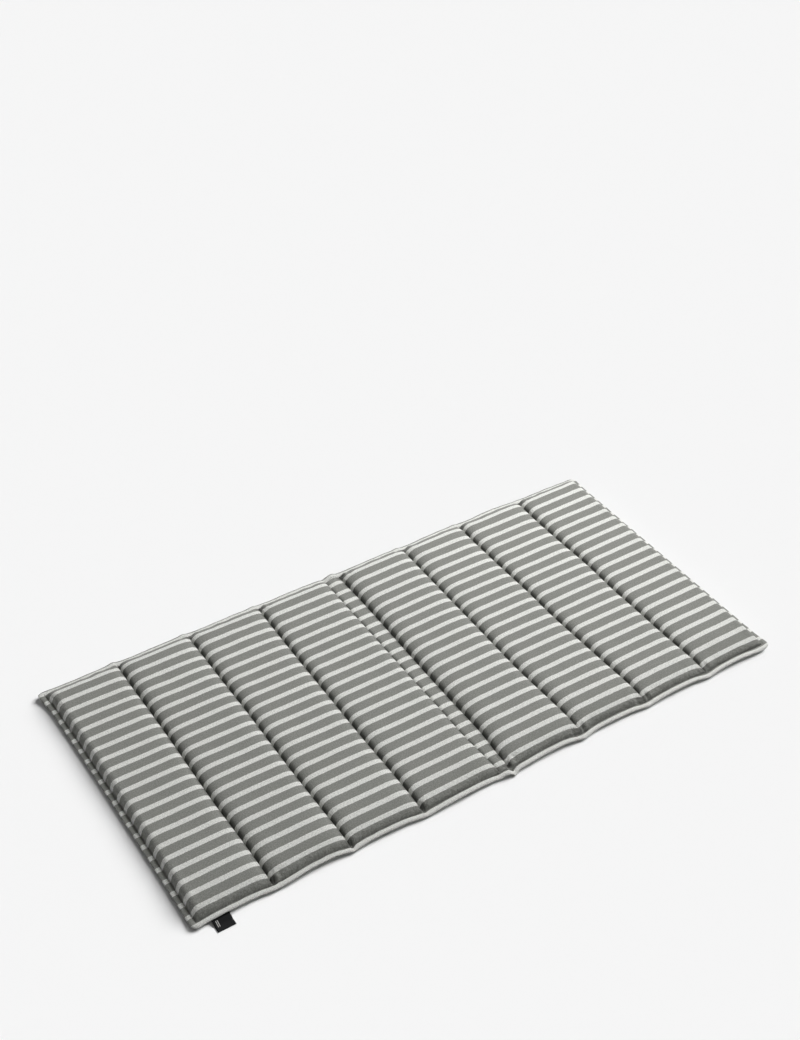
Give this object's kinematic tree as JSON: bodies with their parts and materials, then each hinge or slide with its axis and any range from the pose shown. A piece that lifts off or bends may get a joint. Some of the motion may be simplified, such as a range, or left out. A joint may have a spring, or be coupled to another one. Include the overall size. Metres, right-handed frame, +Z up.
{
  "type": "quilted chair cushion",
  "caption": "Long flat quilted chair cushion in striped cloth, sewn into channels with a hinge strip between seat and back and a corded rim.",
  "frame": {"origin": "on the surface that the cushion lies on, under the middle of the whole piece, label included", "axes": "+X along the length and the stripes, +Y across the width away from the side with the label, +Z up through the thickness"},
  "size_m": [1.0614, 0.55, 0.0238],
  "materials": {
    "striped_cloth": "matt woven cotton-like cloth, warm grey with narrow off-white stripes along its length",
    "woven_tape": "fine black woven tape"
  },
  "bodies": {
    "root": {"quilted_pad": "striped_cloth", "woven_label": "woven_tape"}
  },
  "joints": []
}
